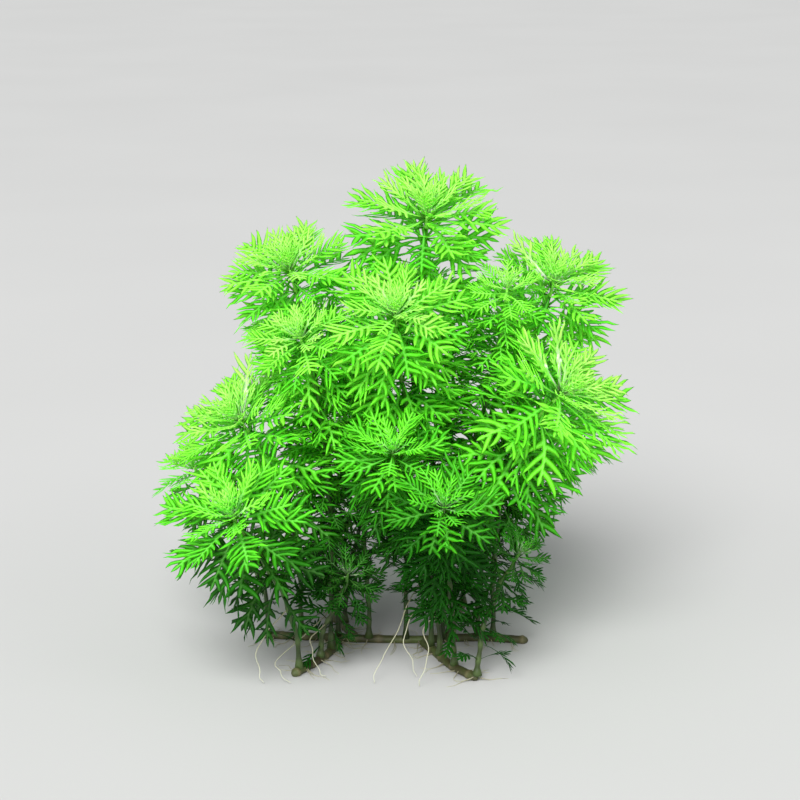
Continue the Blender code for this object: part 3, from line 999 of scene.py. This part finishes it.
def grow_fine_leaves(foliage, number, shoot, kinds, outer_angles):
    """Add the leaves that only the fine crown has; the lowest whorl stands between the outer leaves."""
    vary = foliage.rng.uniform
    for level, (kind, count, share, rise, droop, age, high) in enumerate(upper_whorls(shoot)):
        centre = shoot.crown + high * MM * shoot.axis
        radius = CROWN_RADIUS * max(0.3, 0.8 - 0.1 * level)      # higher whorls start nearer to the axis
        pale = HEART_PAINTED_LIGHT if rise > HEART_RISE else 0.0
        for index in range(count):
            angle = shoot.phase + level * WHORL_TURN + math.tau * index / count
            if level == 0:
                angle = outer_angles[index] + math.pi / count
            angle += vary(-0.12, 0.12)
            own_rise = math.radians(rise + vary(-6, 6))
            length = shoot.leaf_length * share * vary(0.9, 1.05)
            own_droop = math.radians(droop + vary(-14, 12)) or LEAST_DROOP
            leaf = leaf_at(centre, shoot.axis, angle, radius, length, own_rise, own_droop, FINE_LOBES)
            foliage.add(kinds[kind], room.fitted(leaf, number, FINE_MARGIN), age, bleached=pale)


# %% Young leaves with a stouter stalk and a painted highlight on it
# Crown, direction and rise in degrees.
GLINT_STALK_LEAVES = (("upper_right", 165, 40), ("right", 137, 45), ("right", 165, 25), ("left", 56, 45))
GLINT_LEAF_HIGH = 3.5 * MM
GLINT_LEAF_SEAT = 0.9 * CROWN_RADIUS
GLINT_LEAF_SHARE = 0.90
GLINT_LEAF_DROOP = math.radians(10)
GLINT_LEAF_AGE = 0.06


def grow_glint_leaves(foliage, shoot):
    for name, direction, rise in GLINT_STALK_LEAVES:
        if name == shoot.name:
            centre = shoot.crown + GLINT_LEAF_HIGH * shoot.axis
            length = shoot.leaf_length * GLINT_LEAF_SHARE
            leaf = leaf_at(centre, shoot.axis, math.radians(direction), GLINT_LEAF_SEAT, length,
                           math.radians(rise), GLINT_LEAF_DROOP, FINE_LOBES)
            # The whole stalk of this leaf gets the painted highlight.
            foliage.add("middle", leaf, GLINT_LEAF_AGE, bleached=1.0)


# %% Growing the crowns
CROWN_SEED = 100


def grow_crown(number, shoot):
    foliage = Foliage(CROWN_SEED + number, PAINTED_SHADE_OF_SHOOT.get(shoot.name, 0.0))
    kinds = KINDS_OF_SHOOT.get(shoot.name, SUNNY_KINDS)
    outer_angles = grow_solid_leaves(foliage, number, shoot, kinds)
    grow_fine_leaves(foliage, number, shoot, kinds, outer_angles)
    grow_glint_leaves(foliage, shoot)
    piece = foliage.finish("crown_" + shoot.name + "_leaves")
    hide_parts("crown_" + shoot.name)


for number, shoot in enumerate(shoots):
    grow_crown(number, shoot)
print("leaves in the crowns:", sum(sum(counts) for counts in USES.values()))

# %% [markdown]
# ## Leaves down the stems
#
# Below its crown a shoot keeps its older whorls, shorter and darker the lower they are, until the stem is
# bare; they darken with age and with a painted shade. They are copies of the old and the bare-stalked
# leaves, and a leaf that would reach the ground is lifted, or left out.

# %% Lower whorls
# Distance below the crown (mm), share of the leaf length, age. The last ones have bare-stalked leaves.
LOWER_WHORLS = (
    (9, 0.96, 0.30), (16, 0.95, 0.31), (24, 0.92, 0.32), (31, 0.92, 0.34), (38, 0.91, 0.36),
    (46, 0.90, 0.39), (54, 0.88, 0.42), (62, 0.86, 0.45), (71, 0.83, 0.49), (80, 0.79, 0.53),
    (90, 0.75, 0.57), (101, 0.70, 0.61), (113, 0.64, 0.65), (126, 0.58, 0.70), (140, 0.50, 0.75),
    (155, 0.42, 0.80), (171, 0.40, 0.85),
)
BARE_LEAVES_FROM = 75
SOLID_WHORL = 24
SOLID_OLD_LEAVES = 3
STEM_FACES = 4
OLD_PHASE = 0.5
BESIDE = math.radians(50)
# Leaves in a whorl by its height above the ground (mm), and how many of them a front shoot has lost.
LEAVES_BY_HEIGHT = ((60, 8), (40, 7), (25, 5), (0, 3))
LEAVES_LOST = {"front_left": 4, "front_low": 1, "left_low": 2}
LEVEL_TURN = 0.5


def lower_angles(shoot, distance, level, height):
    """Directions of a whorl's leaves; the solids' old leaves keep theirs, and others stand beside them."""
    lost = LEAVES_LOST.get(shoot.name, 0)
    if distance == SOLID_WHORL and shoot.leaf_length >= SHORT_LEAF:
        faces = spread(SOLID_OLD_LEAVES, STEM_FACES, shoot.phase + OLD_PHASE)
        angles = [math.radians(-45) + face * math.pi / 2 for face in faces]
        return angles + [angle + BESIDE for angle in angles[lost:]]
    count = next(count for lowest, count in LEAVES_BY_HEIGHT if height >= lowest * MM)
    count = max(count - lost, 1)
    return [shoot.phase + level * LEVEL_TURN + math.tau * index / count for index in range(count)]


# %% Growing the lower leaves
LOWER_SEED = 300
# Painted shade that darkens the lower leaves of the shoots that lost leaves.
LOST_SHOOT_PAINTED_SHADE = 0.22
BARE_SHARE = 0.08
SHORTEST_OLD_LEAF = 20 * MM
OLD_RISE = math.radians(2)
OLD_DROOP = math.radians(26)
NECK_RADIUS = 1.1 * MM
OLD_SEAT = 0.6 * NECK_RADIUS
OLD_LOBES = 2
OLD_ROLL = 0.7
LIFTS = (0, 25, 50)


def grow_lower_leaves(number, shoot):
    foliage = Foliage(LOWER_SEED + number, PAINTED_SHADE_OF_SHOOT.get(shoot.name, 0.0))
    vary = foliage.rng.uniform
    for level, (distance, size, age) in enumerate(LOWER_WHORLS):
        share = shoot.share_below(distance * MM)
        if share < BARE_SHARE:
            break
        centre, axis = shoot.stem(share), shoot.stem_direction(share)
        # Painted shade on these shoots' lower leaves.
        if shoot.name in LEAVES_LOST:
            age += LOST_SHOOT_PAINTED_SHADE
        kind = "bare" if distance >= BARE_LEAVES_FROM or shoot.name in LOW_SHOOTS else "old"
        for angle in lower_angles(shoot, distance, level, centre.z):
            angle += vary(-0.3, 0.3)
            rise = OLD_RISE + math.radians(vary(-12, 42))
            length = max(shoot.leaf_length * size, SHORTEST_OLD_LEAF) * vary(0.85, 1.05)
            droop = OLD_DROOP + math.radians(vary(-6, 40))
            for lift in LIFTS:
                lifted = rise + math.radians(lift)
                leaf = leaf_at(centre, axis, angle, OLD_SEAT, length, lifted, droop, OLD_LOBES)
                if leaf.outline()[:, 2].min() > GROUND_CLEARANCE:
                    foliage.add(kind, leaf, age, roll=OLD_ROLL)
                    break
    if foliage.total:
        piece = foliage.finish("stem_" + shoot.name + "_leaves")
        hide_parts("stem_" + shoot.name)


for number, shoot in enumerate(shoots):
    grow_lower_leaves(number, shoot)
for kind, counts in USES.items():
    print(kind, "copies of each shape:", min(counts), "to", max(counts))

# %% [markdown]
# ## Stems
#
# A stem is a smooth tube, a little thicker at each ring where a whorl grows. One tube is modelled as a
# circle extruded in many short steps, and every stem is a copy laid along its own curve.

# %% A tube to copy
def tube_blank(sides, rows):
    """A closed tube one unit long and one in radius, from an extruded circle."""
    selected_only()
    bpy.ops.mesh.primitive_circle_add(vertices=sides, radius=1, fill_type="NGON")
    blank = bpy.context.object
    bpy.ops.object.mode_set(mode="EDIT")
    bpy.ops.mesh.select_all(action="SELECT")
    for _ in range(rows):
        extruded((0, 0, 1 / rows))
    bpy.ops.mesh.select_all(action="SELECT")
    bpy.ops.mesh.normals_make_consistent(inside=False)
    bpy.ops.object.mode_set(mode="OBJECT")
    return arrays_of(blank)


def tube_along(blank, line, directions, radii):
    """Lay a blank tube along a line's points, with a radius at each; also returns each point's share."""
    places, faces = blank
    rows = np.round(places[:, 2] * (len(line) - 1)).astype(int)
    made = np.zeros_like(places)
    for row in range(len(line)):
        side, front = across(directions[row])
        here = rows == row
        flat = places[here, 0:1] * np.array(side) + places[here, 1:2] * np.array(front)
        made[here] = np.array(line[row]) + radii[row] * flat
    return made, faces, rows / (len(line) - 1)


# %% Growing the stems
STEM_ROWS = 72
STEM_BLANK = tube_blank(10, STEM_ROWS)
FOOT_RADIUS = 1.5 * MM
STEM_SHARE = 0.80
NODE_SWELL = 0.35 * MM
NODE_LENGTH = 1.6 * MM
FLARE = 0.9 * MM
FLARE_LENGTH = 1.5 * MM
BEND = 0.45 * MM
BEND_LENGTH = 23 * MM
SUNK = 1.2 * MM
INTO_CROWN = 6.5 * MM
END_RADIUS = 0.5 * MM


def stem_line(shoot, shares, directions, height):
    """The stem's curve with slight bends, sunk into the creeping stem and run on into the crown."""
    line = [shoot.stem(share) for share in shares]
    for row, share in enumerate(shares):
        side, front = across(directions[row])
        wave = share * height / BEND_LENGTH * math.tau + shoot.phase
        bend = BEND * min(1, 8 * share * (1 - share))
        line[row] = line[row] + bend * (math.sin(wave) * side + math.cos(wave * 0.7) * front)
    line[0] = line[0] - SUNK * UP
    line[-1] = line[-1] + INTO_CROWN * shoot.axis
    return line


def grow_stem(shoot):
    shares = [row / STEM_ROWS for row in range(STEM_ROWS + 1)]
    directions = [UP if share == 0 else shoot.stem_direction(share) for share in shares]
    nodes = [shoot.share_below(distance * MM) for distance, _, _ in LOWER_WHORLS]
    height = shoot.crown.z - shoot.foot.z
    rings, radii = [], []
    for share in shares:
        ring = max(math.exp(-((share - node) * height / NODE_LENGTH) ** 2) for node in nodes)
        flare = FLARE * math.exp(-share * height / FLARE_LENGTH)
        radius = FOOT_RADIUS + (NECK_RADIUS - FOOT_RADIUS) * share
        rings.append(ring)
        radii.append(STEM_SHARE * radius + NODE_SWELL * ring + flare)
    radii[-1] = END_RADIUS
    line = stem_line(shoot, shares, directions, height)
    points, faces, rows = tube_along(STEM_BLANK, line, directions, radii)
    # The stem's age mark also carries its shoot's painted shade.
    age = 1.0 - rows + PAINTED_SHADE_OF_SHOOT.get(shoot.name, 0.0)
    marks = plain_marks(age, np.array(rings)[np.round(rows * STEM_ROWS).astype(int)])
    piece = finished_piece("stem_" + shoot.name + "_skin", points, faces, marks, STEM)
    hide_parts("stem_" + shoot.name)


for shoot in shoots:
    grow_stem(shoot)
print("stems:", len(shoots))

# %% [markdown]
# ## Creeping stems
#
# The creeping stems lie on the ground, ringed at their joints, and were cut off flat underneath. A curve
# with a round bevel would have no flat side, so each is a copied tube, laid ring by ring along a smooth
# line and cut flat below.

# %% Smooth lines
def smooth_line(points, shares):
    """Points read at these shares from one smooth curve through the given points (Catmull-Rom)."""
    points = [Vector(point) for point in points]
    points = [2 * points[0] - points[1]] + points + [2 * points[-1] - points[-2]]
    spans = len(points) - 3
    line = []
    for share in shares:
        place = share * spans
        span = min(int(place), spans - 1)
        t = place - span
        a, b, c, d = points[span:span + 4]
        line.append(0.5 * ((2 * b) + (c - a) * t + (2 * a - 5 * b + 4 * c - d) * t ** 2
                           + (3 * b - a - 3 * c + d) * t ** 3))
    return line


def directions_along(line):
    ends = range(len(line))
    return [(line[min(i + 1, len(line) - 1)] - line[max(i - 1, 0)]).normalized() for i in ends]


def lengths_along(line):
    """Distance of each point from the line's start."""
    lengths = [0.0]
    for here, there in zip(line, line[1:]):
        lengths.append(lengths[-1] + (there - here).length)
    return lengths


# %% A tube with a flat underside
RUNNER_ROWS = 90
RUNNER_BLANK = tube_blank(12, RUNNER_ROWS)
RUNNER_BASE_WIDTH = 5.0 * MM
JOINT_SPACING = 12.5 * MM
JOINT_LENGTH = 1.1 * MM
JOINT_SWELL = 0.16
BETWEEN_JOINTS = 0.90
ROUGHNESS = 0.025
TIP_LENGTH = 3.0 * MM
SMALLEST_END = 0.15
# Shares of the creeping stem's height.
MIDDLE_HEIGHT = 0.42
HALF_HEIGHT = 0.60
MOST_HEIGHT = 1.05


def rounding(distance):
    """How full a section is at a distance from a rounded end."""
    return max(math.sqrt(1 - (1 - min(distance / TIP_LENGTH, 1)) ** 2), SMALLEST_END)


def flat_tube(line, rng):
    """A ringed tube that stands on the ground: round above, cut flat below, rounded at its ends."""
    places, faces = RUNNER_BLANK
    rows = np.round(places[:, 2] * RUNNER_ROWS).astype(int)
    directions, lengths = directions_along(line), lengths_along(line)
    made, rings = np.zeros_like(places), np.zeros(len(places))
    phase = rng.uniform(0.3, 0.7)
    for row in range(len(line)):
        here = rows == row
        side = UP.cross(directions[row])
        from_joint = abs((lengths[row] / JOINT_SPACING + phase) % 1 - 0.5) * JOINT_SPACING
        ring = math.exp(-(from_joint / JOINT_LENGTH) ** 2)
        full = rounding(min(lengths[row], lengths[-1] - lengths[row]))
        size = full * (BETWEEN_JOINTS + JOINT_SWELL * ring + rng.uniform(-ROUGHNESS, ROUGHNESS))
        wide = places[here, 0:1] * RUNNER_BASE_WIDTH / 2 * size
        high = (MIDDLE_HEIGHT + places[here, 1:2] * HALF_HEIGHT * size) * RUNNER_HEIGHT
        high = np.clip(high, 0, RUNNER_HEIGHT * MOST_HEIGHT)
        made[here] = np.array(line[row]) + wide * np.array(side) + high * np.array(UP)
        rings[here] = ring
    return made, faces, rings


# %% Laying the creeping stems
# Points of each one's middle line (mm).
RUNNERS = {
    "main": ((-68, 6), (-42, 3), (-14, 0), (16, -1), (44, 2), (70, -2)),
    "front_left": ((-27, -2.3), (-31, -16), (-38, -30), (-49, -47)),
    "front_right": ((16, -5.0), (22, -18), (30, -36), (42, -52)),
    "back_left": ((-20, 4.6), (-25, 18), (-31, 33), (-33, 50)),
    "back_right": ((28, 4.0), (31, 16), (33, 32), (38, 50)),
}
RUNNER_SEED = 500
BRANCH_OVERLAP = 2.0 * MM
FIRST_JOINT = 0.4 * JOINT_SPACING

joints = []
for number, (name, points) in enumerate(RUNNERS.items()):
    shares = [0.5 - 0.5 * math.cos(math.pi * row / RUNNER_ROWS) for row in range(RUNNER_ROWS + 1)]
    line = smooth_line([(x * MM, y * MM, 0) for x, y in points], shares)
    if name != "main":
        line[0] = line[0] - BRANCH_OVERLAP * (line[2] - line[0]).normalized()
    places, faces, rings = flat_tube(line, random.Random(RUNNER_SEED + number))
    marks = plain_marks(np.zeros(len(rings)), rings)
    piece = finished_piece("runner_" + name + "_skin", places, faces, marks, RUNNER)
    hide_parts("runner_" + name)
    lengths = lengths_along(line)
    distance = FIRST_JOINT
    while distance < lengths[-1]:
        row = next(row for row, length in enumerate(lengths) if length >= distance)
        joints.append((name, line[row], directions_along(line)[row]))
        distance += JOINT_SPACING

# %% [markdown]
# ## Rootlets
#
# Each joint holds on with a few fine rootlets, which leave it sideways, sink to the ground and lie on it.
# They are copies of one thin tube, and those of one creeping stem are one piece.

# %% Rootlets at the joints
ROOTLET_ROWS = 12
ROOTLET_BLANK = tube_blank(5, ROOTLET_ROWS)
ROOTLETS_AT_JOINT = 4
ROOTLET_RADIUS = 0.24 * MM
LYING = 1.1 * ROOTLET_RADIUS
ROOTLET_TURN = 0.7
# How far out (mm) a rootlet ends, how high (mm) and how far out (mm) it starts.
ROOTLET_REACH = (8, 17)
ROOTLET_START = (1.2, 2.6)
ROOTLET_OUT = 1.6
ROOTLET_BEND = 0.16
ROOTLET_TAPER = 0.6
ROOTLET_FADE = 0.7


def rootlet_line(place, direction, hand, rng):
    """A smooth line from a joint to the ground on one side of a creeping stem."""
    turn = rng.uniform(-ROOTLET_TURN, ROOTLET_TURN)
    out = math.cos(turn) * hand * direction.cross(UP) + math.sin(turn) * direction
    out = Vector((out.x, out.y, 0)).normalized()
    reach = rng.uniform(*ROOTLET_REACH) * MM
    start = place + out * ROOTLET_OUT * MM + UP * rng.uniform(*ROOTLET_START) * MM
    way = [start]
    for share in (0.35, 0.7, 1.0):
        bend = rng.uniform(-ROOTLET_BEND, ROOTLET_BEND) * reach * out.cross(UP)
        low = max(start.z * (1 - share * 2.2), LYING)
        way.append(Vector((start.x, start.y, 0)) + out * reach * share + bend + UP * low)
    line = smooth_line(way, [row / ROOTLET_ROWS for row in range(ROOTLET_ROWS + 1)])
    return [Vector((spot.x, spot.y, max(spot.z, LYING))) for spot in line]


def grow_rootlets(runner):
    """The fine roots of one creeping stem, as one piece."""
    rng = random.Random("rootlets " + runner)
    radii = [ROOTLET_RADIUS * (1 - ROOTLET_TAPER * row / ROOTLET_ROWS) for row in range(ROOTLET_ROWS + 1)]
    points, faces, marks, total = [], [], [], 0
    for name, place, direction in joints:
        if name != runner:
            continue
        for index in range(ROOTLETS_AT_JOINT):
            line = rootlet_line(place, direction, 1 if index % 2 else -1, rng)
            places, own_faces, rows = tube_along(ROOTLET_BLANK, line, directions_along(line), radii)
            points.append(places)
            faces += [tuple(vert + total for vert in face) for face in own_faces]
            marks.append(plain_marks(1 - rows * ROOTLET_FADE, rows * 0))
            total += len(places)
    piece = finished_piece("runner_" + runner + "_rootlets", np.concatenate(points), faces,
                           np.concatenate(marks), ROOT)
    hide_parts("runner_" + runner)


for name in RUNNERS:
    grow_rootlets(name)
print("rootlets:", ROOTLETS_AT_JOINT * len(joints))

# %% [markdown]
# ## Water roots
#
# The pale water roots hang from the lower stems in loose waves and end just above the ground. Each one is
# a thin tube along a smooth line through the points of its solid, with a small sway of its own.

# %% Growing the water roots
# Shoot that a root hangs from, height of its start (mm), and the points of its line (mm).
ROOTS = {
    "left": ("front_left", 36, ((-60, -52, 27), (-66, -50, 16), (-65, -54, 6), (-63, -56, 1))),
    "left_inner": ("left_middle", 24, ((-38, -30, 21), (-56, -44, 9), (-55, -50, 4), (-50, -56, 1))),
    "middle_left": ("low_middle", 22, ((-40, -38, 17), (-39, -42, 10), (-36, -46, 3), (-33, -48, 1))),
    "middle": ("front", 34, ((10, -36, 28), (6, -42, 18), (10, -46, 8), (12, -48, 1))),
    "middle_right": ("front_low", 40, ((16, -50, 27), (18, -56, 17), (15, -60, 8), (13, -60, 1))),
    "right": ("middle", 46, ((8, -26, 30), (0, -40, 16), (-7, -52, 8), (-9, -56, 1))),
    "back": ("back_low", 36, ((-18, 52, 22), (-12, 58, 10), (-15, 62, 1))),
}
ROOT_ROWS = 60
ROOT_BLANK = tube_blank(8, ROOT_ROWS)
ROOT_RADIUS = 0.45 * MM
FINE_ROOT_SHARE = 0.66
ROOT_TAPER = 0.45
SWAY = 0.5 * MM
SWAY_PER_ROW = 0.33
STILL_ROWS = 12


def grow_root(name):
    stem_name, height, way = ROOTS[name]
    shoot = next(shoot for shoot in shoots if shoot.name == stem_name)
    share = 0.0
    while shoot.stem(share).z < height * MM:
        share += 0.002
    rows = range(ROOT_ROWS + 1)
    way = [shoot.stem(share)] + [Vector(place) * MM for place in way]
    line = smooth_line(way, [row / ROOT_ROWS for row in rows])
    rng = random.Random("root " + name)
    for row in rows:
        sway = SWAY * math.sin(row * SWAY_PER_ROW + rng.uniform(-0.2, 0.2)) * min(1, row / STILL_ROWS)
        line[row] = line[row] + Vector((sway, 0.6 * sway, 0))
    radii = [FINE_ROOT_SHARE * ROOT_RADIUS * (1.0 - ROOT_TAPER * row / ROOT_ROWS) for row in rows]
    points, faces, along = tube_along(ROOT_BLANK, line, directions_along(line), radii)
    piece = finished_piece("root_" + name + "_skin", points, faces, plain_marks(1 - along, along * 0), ROOT)
    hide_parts("root_" + name)


for name in ROOTS:
    grow_root(name)
print("water roots:", len(ROOTS))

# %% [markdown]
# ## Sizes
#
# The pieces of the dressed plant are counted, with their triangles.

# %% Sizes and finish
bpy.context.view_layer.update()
pieces = [thing for thing in bpy.data.objects if thing.name.endswith(("_leaves", "_skin", "_rootlets"))]
triangles = sum(len(face.vertices) - 2 for piece in pieces for face in piece.data.polygons)
print("pieces:", len(pieces), "triangles:", triangles)
